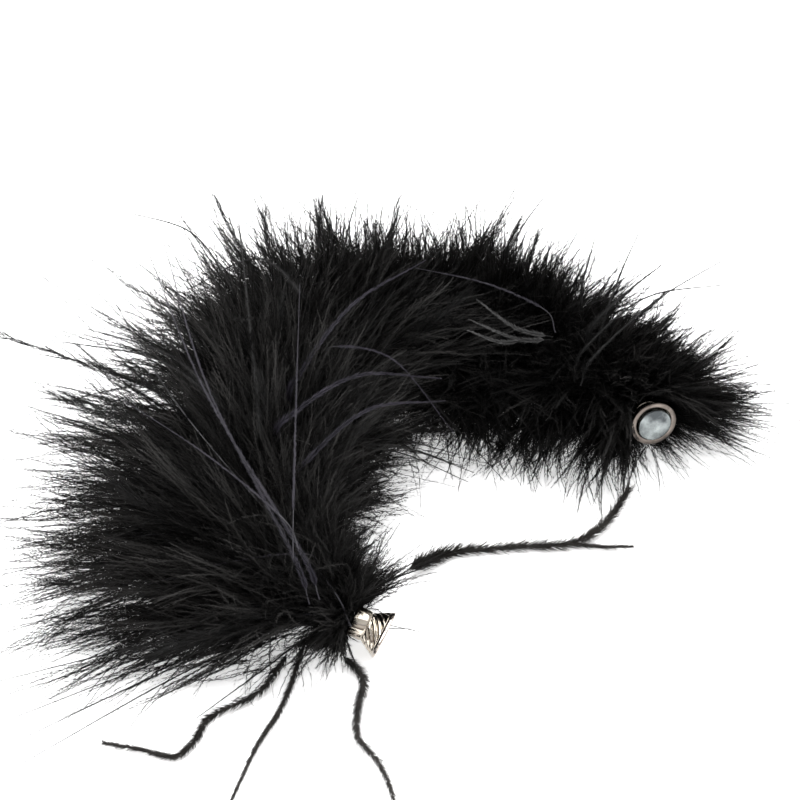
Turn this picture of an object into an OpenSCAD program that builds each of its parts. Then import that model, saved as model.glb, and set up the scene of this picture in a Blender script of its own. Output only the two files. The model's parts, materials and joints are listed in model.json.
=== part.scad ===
// Short marabou boa: seven lengths of feathered cord between the two halves of a magnetic clasp.
// It lies on a table in an open C. Each length of cord is a rigid link with its own down and plumes,
// and an upright hinge stands at each place where the cord bends.
// The origin is under the middle of the whole boa, on the table. Z is up. Millimetres.

/* [Cord] */
// Diameter of the twisted cord that the plumes are tied to
cord_d = 2.4; // [2:0.1:2.6]
// Height of the cord above the table, where the down carries it
cord_z = 9; // [8.9:0.1:10]
// Length of each link of the cord, from bend to bend
link_len = 25; // [24.5:0.1:26]
// Number of thread bands that hold the quills along each link
wraps_per_link = 6; // [3:1:8]
// Number of quills tied down between two neighbouring bands
quills_per_gap = 2; // [1:1:3]

/* [Down] */
// How far the dense down stands out on the inner side of the curl
inner_reach = 23; // [18:0.5:25]
// How far the dense down stands out on the outer side at the middle of the boa
outer_reach = 26; // [20:0.5:30]
// Height of the dense down above the table
down_top = 37; // [34:0.5:40]
// Extra reach on the outer side at the first link, where the down is fullest
fullness = 14; // [0:1:16]

/* [Plumes] */
// Reach of the longest plumes, at the first link, out sideways
side_plume = 62; // [50:1:66]
// Reach of the plumes at the far end, out sideways
end_plume = 32; // [28:1:44]
// Reach of the plumes that stand straight up
top_plume = 33; // [28:1:36]
// Greatest width of one plume
plume_w = 6; // [3:0.5:7]
// Number of plumes in the fan of each link
plumes_per_fan = 6; // [3:1:8]

/* [Clasp] */
// Diameter of the flared rim of each clasp half
rim_d = 11; // [10.6:0.1:11.2]
// Diameter of the plain band that the cord is glued into
band_d = 6.9; // [6.5:0.1:7.2]
// Length of the plain band
band_len = 3.35; // [3:0.05:3.6]
// Length of one clasp half, from the back of the band to the face of the rim
clasp_len = 7.8; // [7.6:0.1:8]
// Diameter of each magnet
magnet_d = 7.4; // [7:0.1:7.4]
// Diameter of the pole cap on the far magnet
cap_d = 8; // [7.8:0.1:8.1]
// Height of the pole cap's top above the far rim
boss_h = 0.8; // [0.6:0.05:0.9]
// Diameter of the socket in the near rim
socket_d = 8.4; // [8.3:0.1:8.6]
// Depth of the socket's wall in the near rim
socket_h = 1; // [0.95:0.05:1.1]

/* [Hidden] */
$fn = 64;
// Headings of the links at rest, from the near clasp to the far one
link_heads = [118, 92, 86, 58, 17, -25, -36];
// Headings of the two clasp halves, outwards from the cord
near_head = -17;
far_head = -73;
// The near clasp droops to the table, the far one tips up a little
near_tilt = 21;
far_tilt = -6;
// First bend of the cord, behind the near clasp
start = [-16.05, -39.4];

links = len(link_heads);
middle = (links - 1) / 2;
cord_r = cord_d / 2;
wrap_r = cord_r + 0.4;
wrap_w = 0.8;
wrap_inset = 2.2;
// From a cord end's bend to its tilting point, and from there to the back of the band
swing_gap = 2.8;
tilt_gap = 2.2;
face_gap = 0.3;
// The middle link is as long as the two joined clasp halves, so that the ring closes
closing_len = 2 * (swing_gap + tilt_gap + clasp_len) + face_gap;
// A round notch about each hinge keeps the cord's ends clear of each other
notch_r = 1.3;
cord_stop = 0.65;
// Half of the gap between the down of two neighbours
side_gap = 0.25;
// Half the sharpest bend
wedge = 22.5;
down_bore_r = wrap_r + 0.05;
quill_d = 0.7;
quill_reach = 13;
// Quills next to a bend are short, so that they stay out of the next link's down
short_reach = 7;
plume_root = 15;
plume_t = 1;

// Near ends of the upright hinges, one after the other along the cord
function len_of(i) = i == middle ? closing_len : link_len;
function step(p, heading, distance) = p + distance * [cos(heading), sin(heading)];
function bend_at(i) = i == 0 ? start : step(bend_at(i - 1), link_heads[i - 1], len_of(i - 1));
// 0 at the near end, 1 at the far end
function way(i) = i / (links - 1);
function mix(a, b, t) = a + (b - a) * t;
// The down narrows from the full near end to the middle, and stays even from there
function outer_of(i) = outer_reach + fullness * max(0, 1 - way(i) * 1.6);
function plume_of(i) = mix(side_plume, end_plume, min(1, way(i) * 1.6));

// Places a child on link i: x along the cord, y to the outer side of the curl
module on_link(i) {
    translate([bend_at(i).x, bend_at(i).y, 0]) rotate([0, 0, link_heads[i]]) children();
}
// Places a child on the short end of the cord behind a clasp: x towards the clasp
module on_near_end() {
    translate([start.x, start.y, 0]) rotate([0, 0, near_head]) mirror([0, 1, 0]) children();
}
module on_far_end() {
    translate([bend_at(links).x, bend_at(links).y, 0]) rotate([0, 0, far_head]) children();
}
// Places a child on the axis of a clasp half, with x = 0 at the back of its band
module on_clasp(tilt) {
    translate([swing_gap, 0, cord_z]) rotate([0, tilt, 0]) translate([tilt_gap, 0, 0]) children();
}
module on_near_clasp() { on_near_end() on_clasp(near_tilt) children(); }
module on_far_clasp() { on_far_end() on_clasp(far_tilt) children(); }

// A rod along x
module rod(r, from, to) {
    translate([from, 0, 0]) rotate([0, 90, 0]) cylinder(h = to - from, r = r);
}
// A turned solid about x, from an outline of [x, radius] points
module turned(outline) {
    rotate([0, 90, 0]) rotate([0, 0, 90]) rotate_extrude() polygon([for (p = outline) [p.y, p.x]]);
}
// A leaf from x = 0 to x = l: two arcs that meet at its root and its tip
module leaf(l, w) {
    r = (l * l + w * w) / (4 * w);
    intersection() {
        translate([l / 2, w / 2 - r]) circle(r, $fn = 240);
        translate([l / 2, r - w / 2]) circle(r, $fn = 240);
    }
}

// Distance between two bands of thread on link i, and the place of band k
function pitch_of(i) = (len_of(i) - 2 * wrap_inset) / (wraps_per_link - 1);
function wrap_x(i, k) = wrap_inset + k * pitch_of(i);

// One link of the twisted cord, notched round the hinges at its two ends
module core_cord(i) {
    color("#1b1b1d") on_link(i) difference() {
        translate([0, 0, cord_z]) rod(cord_r, 0, len_of(i));
        for (x = [0, len_of(i)]) translate([x, 0, 0]) cylinder(h = 2 * cord_z, r = notch_r);
    }
}
// Bands of thread that tie the quills to the cord
module thread_wrap(i) {
    color("#242427") on_link(i) translate([0, 0, cord_z])
        for (k = [0 : wraps_per_link - 1]) translate([wrap_x(i, k), 0, 0])
            difference() {
                rod(wrap_r, -wrap_w / 2, wrap_w / 2);
                rod(cord_r, -wrap_w, wrap_w);
            }
}
// Bare ends of the plumes' quills, set round the cord in the gaps between the bands
function reach_in(gap) = gap == 0 || gap == wraps_per_link - 2 ? short_reach : quill_reach;
module quills(i) {
    quill_step = (pitch_of(i) - wrap_w) / (quills_per_gap + 1);
    color("#4a474f") on_link(i) translate([0, 0, cord_z])
        for (k = [0 : wraps_per_link - 2]) for (q = [1 : quills_per_gap])
            translate([wrap_x(i, k) + wrap_w / 2 + q * quill_step, 0, 0])
                rotate([-35 + (quills_per_gap * k + q) * 71 % 250, 0, 0])
                    translate([0, cord_r, 0]) rotate([-90, 0, 0])
                        cylinder(h = reach_in(k) - cord_r - 3 * (q % 2), d = quill_d, $fn = 16);
}
// Plan of the down on link i: wedge-shaped on the inner side, so that the ring can close
module down_plan(i) {
    narrow = inner_reach * tan(wedge);
    polygon([
        [side_gap, 0],
        [side_gap + narrow, -inner_reach],
        [len_of(i) - side_gap - narrow, -inner_reach],
        [len_of(i) - side_gap, 0],
        [len_of(i) - side_gap, outer_of(i)],
        [side_gap, outer_of(i)]
    ]);
}
// Dense down round one link, flat where it lies on the table
module down_tuft(i) {
    round_r = (outer_of(i) + inner_reach) / 2;
    color("#121213") on_link(i) difference() {
        intersection() {
            linear_extrude(down_top) down_plan(i);
            translate([0, outer_of(i) - round_r, down_top - round_r]) rod(round_r, 0, len_of(i));
        }
        translate([0, 0, cord_z]) rod(down_bore_r, -1, len_of(i) + 1);
    }
}
// Long plumes that stand out of the down, from the outer side up over the top
module plume_fan(i) {
    color("#2c2b30") on_link(i) translate([len_of(i) / 2, 0, cord_z])
        for (k = [0 : plumes_per_fan - 1]) {
            rise = 2 + 112 * k / (plumes_per_fan - 1);
            reach = mix(top_plume, plume_of(i), pow(max(0, cos(rise)), 2));
            rotate([rise, 0, 0]) rotate([0, 0, 90 + 5 * (k % 2 * 2 - 1)])
                translate([plume_root, 0, -plume_t / 2])
                    linear_extrude(plume_t) leaf(reach - plume_root, plume_w);
        }
}

// Short length of cord between the last bend and the clasp
module cord_end() {
    translate([0, 0, cord_z]) rod(cord_r, cord_stop, swing_gap - cord_stop);
}
// Whipping of thread that stops the cord from fraying
module end_whip() {
    translate([0, 0, cord_z]) difference() {
        rod(cord_r + 0.7, 0.9, 1.9);
        rod(cord_r, 0, swing_gap);
    }
}
// Down tied on at the very end: a thin collar on the cord, and a lock that lies beside the clasp on its
// outer side
module edge_tuft(reach, forward) {
    beside_clasp = 7.2;
    collar_w = 2.2;
    difference() {
        intersection() {
            linear_extrude(down_top) polygon([
                [0.3, 0], [0.3, reach], [forward, reach], [forward, beside_clasp],
                [collar_w, beside_clasp], [collar_w, -2.4], [1.5, -2.4]
            ]);
            translate([0, reach - 20, 10]) rod(20, 0, forward);
        }
        translate([0, 0, cord_z]) rod(cord_r + 0.75, -1, forward + 1);
    }
}

// Where the magnet's seat begins, and where the flare meets the loose rim ring
seat_x = clasp_len - 1.9;
ring_x = clasp_len - socket_h;
rim_x = clasp_len - 0.3;
flare_x = band_len + 0.3;
rim_r = rim_d / 2;
band_r = band_d / 2;
flare_r = band_r - 0.15;
joint_r = mix(flare_r, rim_r, (ring_x - flare_x) / (rim_x - flare_x));
magnet_r = magnet_d / 2;
socket_r = socket_d / 2;
cap_r = cap_d / 2;
// Glue line under the socket, and the rise of the far magnet above its rim
magnet_set = 0.15;
magnet_rise = 0.2;
// Height of the bevel at the edge of the pole cap
cap_edge = 0.2;
throat_r = 2.4;
sleeve_r = cord_r + 0.45;
// Plain band and flaring cone, turned in one piece, hollow for the cord, the glue and the magnet
module ferrule() {
    difference() {
        turned([
            [0, 0], [0, band_r - 0.2], [0.2, band_r], [band_len - 0.2, band_r], [band_len, flare_r],
            [flare_x, flare_r], [ring_x, joint_r], [ring_x, 0]
        ]);
        rod(sleeve_r, -1, band_len + 0.1);
        rod(throat_r, band_len, seat_x + 0.1);
        rod(magnet_r, seat_x, clasp_len);
    }
}
// Polished ring that closes the rim and makes the wall of the socket
module rim_ring() {
    difference() {
        turned([[ring_x, 0], [ring_x, joint_r], [rim_x, rim_r], [clasp_len, rim_r - 0.1], [clasp_len, 0]]);
        rod(socket_r, ring_x - 1, clasp_len + 1);
    }
}
// End of the cord in the ferrule, notched round the hinge that the clasp half tilts on
module cord_tail() {
    difference() {
        rod(cord_r, -tilt_gap, band_len - 0.3);
        translate([-tilt_gap, cord_d, 0]) rotate([90, 0, 0]) cylinder(h = 2 * cord_d, r = notch_r);
    }
}
// Glue round the end of the cord and behind the magnet
module glue_plug() {
    difference() {
        union() {
            rod(sleeve_r, 0.2, band_len + 0.1);
            rod(throat_r, band_len + 0.1, seat_x);
        }
        rod(cord_r, -1, band_len - 0.3);
    }
}
// Disc magnet at the bottom of the near socket
module socket_magnet() { rod(magnet_r, seat_x, ring_x - magnet_set); }
// Disc magnet of the far half, which rises a little above its rim
module boss_magnet() { rod(magnet_r, seat_x, clasp_len + magnet_rise); }
// Cap on the far magnet, which fits the near socket: a short wall, then a low bevel to a flat top
module pole_cap() {
    foot = clasp_len + magnet_rise;
    top = clasp_len + boss_h;
    turned([[foot, 0], [foot, cap_r], [top - cap_edge, cap_r], [top, cap_r - 1.2], [top, 0]]);
}

// Routes of the loose strands that lie on the table, from root to tip, counted from the first bend
left_route = [[-9.5, -7, 3], [-15, -17, 1.6], [-25, -24, 1], [-28, -31, 1], [-32, -36, 1], [-39, -34, 1],
              [-47, -32, 1]];
middle_route = [[-6, -5, 3], [-10, -21, 1.4], [-15, -33, 1], [-20, -50, 1]];
near_route = [[3, -7, 2.4], [7, -13, 1.4], [6, -21, 1], [6, -30, 1], [11, -39, 1], [14, -50, 1]];
right_route = [[17, 21, 3], [21, 25, 2], [27, 29, 1.2], [42, 31, 1], [54, 32, 1.4], [62, 39, 2.4],
               [67, 48, 4]];
fork_route = [[53, 31.6, 1.2], [60, 31, 1], [67, 31, 1]];
strand_d = 1.5;
strand_sides = 8;
ring_steps = 4;

// A point a part t of the way from p[k] to p[k + 1], on a smooth line through all of the points
function near_at(p, k) = p[min(max(k, 0), len(p) - 1)];
function smooth(p, k, t) =
    let (a = near_at(p, k - 1), b = near_at(p, k), c = near_at(p, k + 1), d = near_at(p, k + 2))
    0.5 * (2 * b + (c - a) * t + (2 * a - 5 * b + 4 * c - d) * t * t + (3 * b - a - 3 * c + d) * t * t * t);
function smooth_line(p) = [
    for (k = [0 : len(p) - 2]) for (s = [0 : ring_steps - 1]) smooth(p, k, s / ring_steps),
    p[len(p) - 1]
];
function unit(v) = v / norm(v);
// A tube of round section along a smooth line, thinner towards its tip
module strand(route) {
    line = smooth_line(route);
    last = len(line) - 1;
    rings = [for (k = [0 : last])
        let (
            along = unit(line[min(k + 1, last)] - line[max(k - 1, 0)]),
            side = unit(cross(along, [0, 0, 1])),
            over = cross(side, along),
            r = strand_d / 2 * (1 - 0.6 * k / last)
        )
        for (s = [0 : strand_sides - 1])
            line[k] + r * (cos(360 * s / strand_sides) * side + sin(360 * s / strand_sides) * over)];
    sides = [for (k = [0 : last - 1]) for (s = [0 : strand_sides - 1])
        let (a = k * strand_sides + s, b = k * strand_sides + (s + 1) % strand_sides)
        [a, a + strand_sides, b + strand_sides, b]];
    ends = [
        [for (s = [0 : strand_sides - 1]) s],
        [for (s = [strand_sides - 1 : -1 : 0]) last * strand_sides + s]
    ];
    polyhedron(rings, concat(sides, ends), convexity = 6);
}
module strand_of(route) {
    color("#17171a") translate([start.x, start.y, 0]) strand(route);
}

for (i = [0 : links - 1]) {
    core_cord(i);
    thread_wrap(i);
    quills(i);
    down_tuft(i);
    plume_fan(i);
}
color("#1b1b1d") on_near_end() cord_end();  // near_cord_end
color("#242427") on_near_end() end_whip();  // near_end_whip
color("#121213") on_near_end() edge_tuft(13, 4);  // near_edge_tuft
color("#b9b6b2") on_near_clasp() ferrule();  // near_ferrule
color("#dcdad6") on_near_clasp() rim_ring();  // near_rim_ring
color("#9aa2a8") on_near_clasp() socket_magnet();  // near_magnet
color("#d8cfae") on_near_clasp() glue_plug();  // near_glue_plug
color("#1b1b1d") on_near_clasp() cord_tail();  // near_cord_tail
color("#1b1b1d") on_far_end() cord_end();  // far_cord_end
color("#242427") on_far_end() end_whip();  // far_end_whip
color("#121213") on_far_end() edge_tuft(26, 12.2);  // far_edge_tuft
color("#b9b6b2") on_far_clasp() ferrule();  // far_ferrule
color("#dcdad6") on_far_clasp() rim_ring();  // far_rim_ring
color("#9aa2a8") on_far_clasp() boss_magnet();  // far_magnet
color("#a9b0b6") on_far_clasp() pole_cap();  // far_pole_cap
color("#d8cfae") on_far_clasp() glue_plug();  // far_glue_plug
color("#1b1b1d") on_far_clasp() cord_tail();  // far_cord_tail
strand_of(left_route);  // loose_strand_left
strand_of(middle_route);  // loose_strand_middle
strand_of(near_route);  // loose_strand_near
strand_of(right_route);  // loose_strand_right
strand_of(fork_route);  // loose_strand_fork
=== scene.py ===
# The looks of a short marabou boa with a magnetic clasp: down, plumes, strands, cord and metal.
import json
import math

import bpy
import numpy as np
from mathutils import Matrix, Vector


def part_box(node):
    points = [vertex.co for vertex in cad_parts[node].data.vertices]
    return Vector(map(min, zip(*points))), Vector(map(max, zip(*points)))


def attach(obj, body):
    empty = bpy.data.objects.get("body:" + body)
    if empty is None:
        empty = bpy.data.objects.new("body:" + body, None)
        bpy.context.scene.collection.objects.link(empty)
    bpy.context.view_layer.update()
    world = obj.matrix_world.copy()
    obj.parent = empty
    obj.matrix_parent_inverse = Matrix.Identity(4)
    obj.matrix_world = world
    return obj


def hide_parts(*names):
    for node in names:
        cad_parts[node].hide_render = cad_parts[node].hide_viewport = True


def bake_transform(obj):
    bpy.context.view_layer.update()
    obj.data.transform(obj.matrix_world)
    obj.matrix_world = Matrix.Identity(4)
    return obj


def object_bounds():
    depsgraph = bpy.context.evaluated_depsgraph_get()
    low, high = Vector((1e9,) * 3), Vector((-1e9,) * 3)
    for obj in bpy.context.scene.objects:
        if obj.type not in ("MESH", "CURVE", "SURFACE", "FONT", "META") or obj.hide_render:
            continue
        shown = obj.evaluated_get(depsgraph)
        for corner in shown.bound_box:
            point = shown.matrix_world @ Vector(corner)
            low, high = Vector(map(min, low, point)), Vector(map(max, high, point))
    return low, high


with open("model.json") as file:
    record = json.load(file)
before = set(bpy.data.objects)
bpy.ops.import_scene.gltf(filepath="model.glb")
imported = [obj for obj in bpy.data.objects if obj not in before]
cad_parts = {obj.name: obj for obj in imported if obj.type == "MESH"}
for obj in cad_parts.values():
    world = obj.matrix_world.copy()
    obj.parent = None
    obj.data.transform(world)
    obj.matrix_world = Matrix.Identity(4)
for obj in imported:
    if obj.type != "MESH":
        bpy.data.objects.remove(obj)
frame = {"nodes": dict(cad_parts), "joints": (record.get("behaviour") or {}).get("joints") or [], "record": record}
cad_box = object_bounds()

MM = 0.001
UP = np.array([0.0, 0.0, 1.0])
JOINTS = {j["name"]: j for j in frame["joints"]}
MOUNTS = {m["name"]: m for m in frame["record"]["mounts"]}


# ---------------------------------------------------------------- camera

VIEW_DOWN = math.radians(38)
VIEW_DISTANCE = 700 * MM
LENS = 146.6
SENSOR = 36.0
# Where the near clasp's rim stands in the view: left of the middle and below it
RIM_LEFT = 3.65 * MM
RIM_BELOW = 50.5 * MM


def make_camera():
    """A long lens that looks down at the boa from the front."""
    low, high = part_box("near_rim_ring")
    ahead = Vector((0, math.cos(VIEW_DOWN), -math.sin(VIEW_DOWN)))
    above = Vector((0, math.sin(VIEW_DOWN), math.cos(VIEW_DOWN)))
    aim = (low + high) / 2 + Vector((RIM_LEFT, 0, 0)) + above * RIM_BELOW
    data = bpy.data.cameras.new("camera")
    data.lens = LENS
    data.sensor_width = SENSOR
    data.clip_start = 0.01
    data.clip_end = 50
    camera = bpy.data.objects.new("camera", data)
    camera.location = aim - ahead * VIEW_DISTANCE
    camera.rotation_euler = (math.pi / 2 - VIEW_DOWN, 0, 0)
    bpy.context.scene.collection.objects.link(camera)
    bpy.context.scene.camera = camera


make_camera()


# ---------------------------------------------------------------- vectors

def unit(v):
    """Each vector of v at length 1."""
    v = np.asarray(v, float)
    return v / np.maximum(np.linalg.norm(v, axis=-1, keepdims=True), 1e-12)


def smoothstep(x):
    """A smooth way from 0 to 1."""
    x = np.clip(x, 0, 1)
    return x * x * (3 - 2 * x)


def catmull(points, steps):
    """A smooth line through the points."""
    p = np.asarray(points, float)
    p = np.vstack([2 * p[0] - p[1], p, 2 * p[-1] - p[-2]])
    t = np.linspace(0, 1, steps, endpoint=False)[:, None]
    out = []
    for a, b, c, d in zip(p[:-3], p[1:-2], p[2:-1], p[3:]):
        out.append(0.5 * (2 * b + (c - a) * t + (2 * a - 5 * b + 4 * c - d) * t * t
                          + (3 * b - a - 3 * c + d) * t ** 3))
    out.append(p[-2][None])
    return np.vstack(out)


def even_steps(path, steps):
    """The same line, with a new number of points in even steps along its old ones."""
    x = np.linspace(0, len(path) - 1, steps)
    i = np.minimum(x.astype(int), len(path) - 2)
    return path[i] + (path[i + 1] - path[i]) * (x - i)[:, None]


# ---------------------------------------------------------------- the spine

CHAIN = ["near_swing", "bend_1_2", "bend_2_3", "bend_3_4", "bend_4_5", "bend_5_6", "bend_6_7", "far_swing"]
BODIES = ["near_end"] + [f"link_{k}" for k in range(1, 8)] + ["far_end"]


def hinge(name):
    """Where a joint's axis is."""
    return np.array(JOINTS[name]["pos_m"])


def spine_corners():
    """The middle of each body's cord and the hinges between them, so that each bend has its own arc."""
    hinges = [hinge(n) for n in CHAIN]
    ends = [hinge("near_tilt")] + hinges + [hinge("far_tilt")]
    middles = [(a + b) / 2 for a, b in zip(ends[:-1], ends[1:])]
    return list(zip(middles[:-1], hinges, middles[1:]))


ARCS = spine_corners()


def on_arc(k, t):
    """Places and headings on the rounded bend k, for parts t of its length."""
    a, b, c = ARCS[k]
    t = np.asarray(t, float)[..., None]
    place = a * (1 - t) ** 2 + 2 * b * t * (1 - t) + c * t * t
    heading = unit(2 * (b - a) * (1 - t) + 2 * (c - b) * t)
    return place, heading


# ---------------------------------------------------------------- materials

def material(name, dark, light, roughness, scale, specular=0.5, metallic=0.0, bump=0.0, tip=None, coat=0.0):
    """A procedural material: a noise that runs from dark to light, and a bump. With tip, the colour
    changes to it where the mesh's own 'tip' attribute is 1."""
    m = bpy.data.materials.new(name)
    m.use_nodes = True
    nt = m.node_tree
    nodes, links = nt.nodes, nt.links
    p = nodes["Principled BSDF"]
    where = nodes.new("ShaderNodeTexCoord")
    noise = nodes.new("ShaderNodeTexNoise")
    noise.inputs["Scale"].default_value = scale
    noise.inputs["Detail"].default_value = 4.0
    ramp = nodes.new("ShaderNodeValToRGB")
    ramp.color_ramp.elements[0].position = 0.35
    ramp.color_ramp.elements[1].position = 0.65
    ramp.color_ramp.elements[0].color = (*dark, 1)
    ramp.color_ramp.elements[1].color = (*light, 1)
    links.new(where.outputs["Object"], noise.inputs["Vector"])
    links.new(noise.outputs["Fac"], ramp.inputs["Fac"])
    colour = ramp.outputs["Color"]
    if tip is not None:
        part = nodes.new("ShaderNodeAttribute")
        part.attribute_name = "tip"
        mix = nodes.new("ShaderNodeMixRGB")
        mix.inputs["Color2"].default_value = (*tip, 1)
        links.new(part.outputs["Fac"], mix.inputs["Fac"])
        links.new(colour, mix.inputs["Color1"])
        colour = mix.outputs["Color"]
    links.new(colour, p.inputs["Base Color"])
    p.inputs["Roughness"].default_value = roughness
    p.inputs["Metallic"].default_value = metallic
    p.inputs["Specular IOR Level"].default_value = specular
    p.inputs["Coat Weight"].default_value = coat
    if bump:
        b = nodes.new("ShaderNodeBump")
        b.inputs["Strength"].default_value = bump
        b.inputs["Distance"].default_value = 0.0002
        links.new(noise.outputs["Fac"], b.inputs["Height"])
        links.new(b.outputs["Normal"], p.inputs["Normal"])
    return m


def grey(v, warm=0.0):
    """A grey of brightness v, a little warmer or cooler."""
    return (v * (1 + warm), v, v * (1 - warm))


# The lighter tip colours of the down and of the black plumes are a painted highlight, blended in towards the tips
# by the mesh's 'tip' attribute and each lock's shine
DOWN = material("black_down", grey(0.0012), grey(0.004, 0.04), 0.6, 70, specular=0.09,
                tip=grey(0.062, 0.03))
UNDERCOAT = material("undercoat", grey(0.002), grey(0.004), 0.9, 60, specular=0.05)
PLUME = material("black_plume", grey(0.003), grey(0.008), 0.5, 120, specular=0.2, tip=grey(0.018))
# Black plume barbs drawn lighter and a little purple: painted sheen, the shiny bands of light along them
SHEEN_PLUME_PAINTED = material("painted_sheen_plume", (0.03, 0.028, 0.037), (0.062, 0.057, 0.074), 0.45, 120, specular=0.2)
LIGHT_PLUME = material("light_plume_tips", grey(0.05), grey(0.09), 0.5, 120, specular=0.3)
STRAND = material("foxtail_strand", grey(0.007, 0.08), grey(0.04, 0.08), 0.55, 400, specular=0.2,
                  tip=grey(0.045, 0.08))
QUILL = material("grey_quill", (0.02, 0.019, 0.024), (0.05, 0.047, 0.058), 0.34, 260, specular=0.4,
                 bump=0.2, tip=(0.006, 0.006, 0.007))
CORD = material("black_cord", grey(0.008), grey(0.02), 0.7, 900, specular=0.3, bump=0.6)
THREAD = material("black_thread", grey(0.012), grey(0.03), 0.5, 1400, specular=0.4, bump=0.5)
BAND = material("nickel", (0.5, 0.45, 0.385), (0.6, 0.545, 0.47), 0.1, 420, metallic=1.0, bump=0.02)
RIM = material("polished_rim", (0.5, 0.45, 0.41), (0.6, 0.55, 0.5), 0.14, 500, metallic=1.0, bump=0.02)
# The far rim is the same metal as the near rim, drawn darker as painted shade, and rougher
SHADED_FAR_RIM = material("dull_rim_painted_shade", (0.1, 0.085, 0.075), (0.21, 0.18, 0.16), 0.3, 420, metallic=1.0, bump=0.05)
# The magnet's nickel face drawn dark, in blotches from dark to light: painted reflection of the black feathers
# round it
MAGNET = material("magnet_cap_painted_reflection", (0.06, 0.066, 0.07), (0.33, 0.36, 0.36), 0.22, 260, metallic=1.0, bump=0.15)
GLUE = material("clear_glue", (0.36, 0.31, 0.2), (0.5, 0.44, 0.3), 0.25, 500, specular=0.6, coat=0.4)


# ---------------------------------------------------------------- meshes

class Soup:
    """Gathers vertices, faces and the per-vertex part of the way to the tip, for one piece."""

    def __init__(self):
        self.v, self.f, self.t, self.uv, self.n = [], [], [], [], 0

    def add(self, verts, faces, tips, uvs):
        """verts (n, 3), faces (m, 4) with -1 in the last place of a triangle."""
        self.v.append(verts)
        self.f.append(np.where(faces < 0, -1, faces + self.n))
        self.t.append(tips)
        self.uv.append(uvs)
        self.n += len(verts)

    def build(self, name, mat):
        v, f = np.vstack(self.v), np.vstack(self.f)
        t, uv = np.concatenate(self.t), np.vstack(self.uv)
        three = f[:, 3] < 0
        sizes = np.where(three, 3, 4)
        flat = f.reshape(-1)
        flat = flat[flat >= 0]
        me = bpy.data.meshes.new(name)
        me.vertices.add(len(v))
        me.vertices.foreach_set("co", v.astype(np.float32).ravel())
        me.loops.add(len(flat))
        me.loops.foreach_set("vertex_index", flat.astype(np.int32))
        me.polygons.add(len(f))
        starts = np.concatenate([[0], np.cumsum(sizes)[:-1]])
        me.polygons.foreach_set("loop_start", starts.astype(np.int32))
        me.polygons.foreach_set("loop_total", sizes.astype(np.int32))
        me.update(calc_edges=True)
        me.polygons.foreach_set("use_smooth", np.ones(len(f), bool))
        layer = me.uv_layers.new(name="OFBake")
        layer.data.foreach_set("uv", uv[flat].astype(np.float32).ravel())
        tip = me.attributes.new("tip", "FLOAT", "POINT")
        tip.data.foreach_set("value", t.astype(np.float32))
        me.materials.append(mat)
        ob = bpy.data.objects.new(name, me)
        bpy.context.scene.collection.objects.link(ob)
        return ob


def cells(n):
    """Lower left corners and the size of n equal cells that fill the unit square."""
    side = max(1, math.ceil(math.sqrt(n)))
    k = np.arange(n)
    return np.stack([k % side, k // side], 1) / side, 1 / side


FLOOR_GAP = 0.25 * MM
# The feathers bend back at the walls of this room, a little larger than the CAD
ROOM_LOW = np.array(cad_box[0]) - np.array([8, 8, 0]) * MM
ROOM_HIGH = np.array(cad_box[1]) + np.array([8, 8, 5]) * MM
# How long a clasp half is from the back of its band, and how far along it the two mounts are
CLASP_LEN = 7.8 * MM
SOCKET_AT = 7.3 * MM
BOSS_AT = 8.2 * MM


def clasp_frame(mount, at):
    """The back of a clasp half's band, and the heading of its axis."""
    axis = unit(MOUNTS[mount]["axis"])
    return np.array(MOUNTS[mount]["pos_m"]) - axis * at, axis


NEAR_CLASP = clasp_frame("near_socket", SOCKET_AT)
FAR_CLASP = clasp_frame("far_boss", BOSS_AT)


def settle(path, rng):
    """Lays what would be under the table on it: low points are pressed up into a thin loose layer.
    What would leave the room is bent back at its walls."""
    low = FLOOR_GAP + rng.uniform(0, 1.6, (len(path), 1)) * MM
    z = path[..., 2]
    path[..., 2] = np.where(z < low + 2 * MM, low + 2 * MM * np.exp((z - low - 2 * MM) / (4 * MM)), z)
    soft = 4 * MM
    path = np.where(path > ROOM_HIGH, ROOM_HIGH + soft * np.tanh((path - ROOM_HIGH) / soft), path)
    return np.where(path < ROOM_LOW, ROOM_LOW + soft * np.tanh((path - ROOM_LOW) / soft), path)


def fit_room(root, direction, length):
    """Shortens what would grow out of the room."""
    tip = root + direction * length[..., None]
    over_high = (tip - ROOM_HIGH) / np.maximum(direction, 0.02)
    over_low = (tip - ROOM_LOW) / np.minimum(direction, -0.02)
    over = np.maximum(over_high, over_low)
    over = np.where((tip > ROOM_HIGH) | (tip < ROOM_LOW), over, 0)
    over[..., 2] = np.where(tip[..., 2] < 0, 0, over[..., 2])
    return np.maximum(length - np.abs(over).max(-1), 0.35 * length)


def near_line(points, a, b):
    """How far points are from the straight line from a to b."""
    d = b - a
    t = np.clip(((points - a) @ d) / (d @ d), 0, 1)
    return np.linalg.norm(points - a - t[..., None] * d, axis=-1)


# The side from which both clasp halves are to be seen: in front and above
FRONT = unit(np.array([0, -0.75, 0.66]))
# How far from the middle of the far cap the view of it stays free
CAP_WINDOW = 5.8 * MM


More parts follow.
